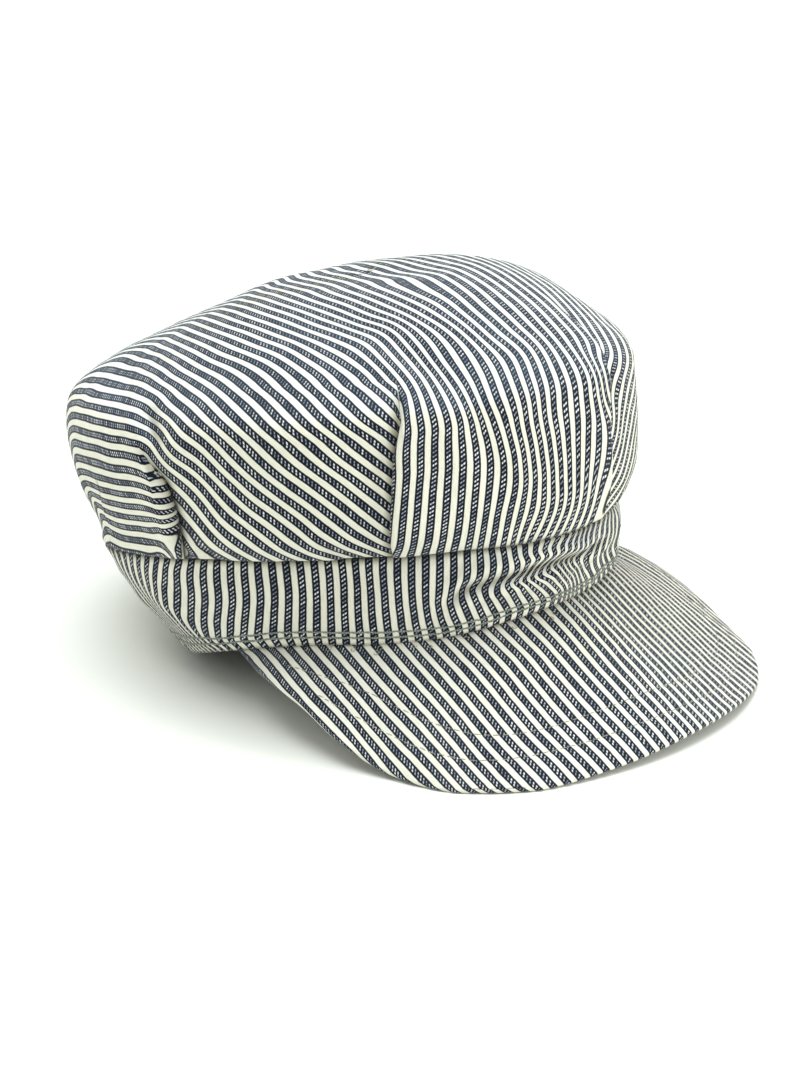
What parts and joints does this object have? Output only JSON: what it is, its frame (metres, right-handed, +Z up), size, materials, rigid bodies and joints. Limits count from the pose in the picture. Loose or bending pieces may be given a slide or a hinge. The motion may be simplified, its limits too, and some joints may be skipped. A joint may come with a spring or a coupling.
{
  "type": "work cap",
  "caption": "Soft full-crowned cloth work cap with a plain band and a curved stiff peak, in navy and cream woven stripe, resting on its peak and the back of its band.",
  "frame": {"origin": "middle of the cap's outline seen from above, on the floor that it rests on", "axes": "+Z up, the peak points to -Y, +X is the wearer's left"},
  "size_m": [0.1929, 0.2613, 0.1335],
  "materials": {
    "crown": "matt woven cotton, navy and cream stripes",
    "band": "matt woven cotton, navy and cream stripes, two rows of grey-green topstitch at the lower edge",
    "peak": "matt woven cotton over a stiff core, navy and cream stripes, two rows of stitches"
  },
  "bodies": {
    "root": {"crown": "crown", "band": "band", "peak": "peak"}
  },
  "joints": []
}
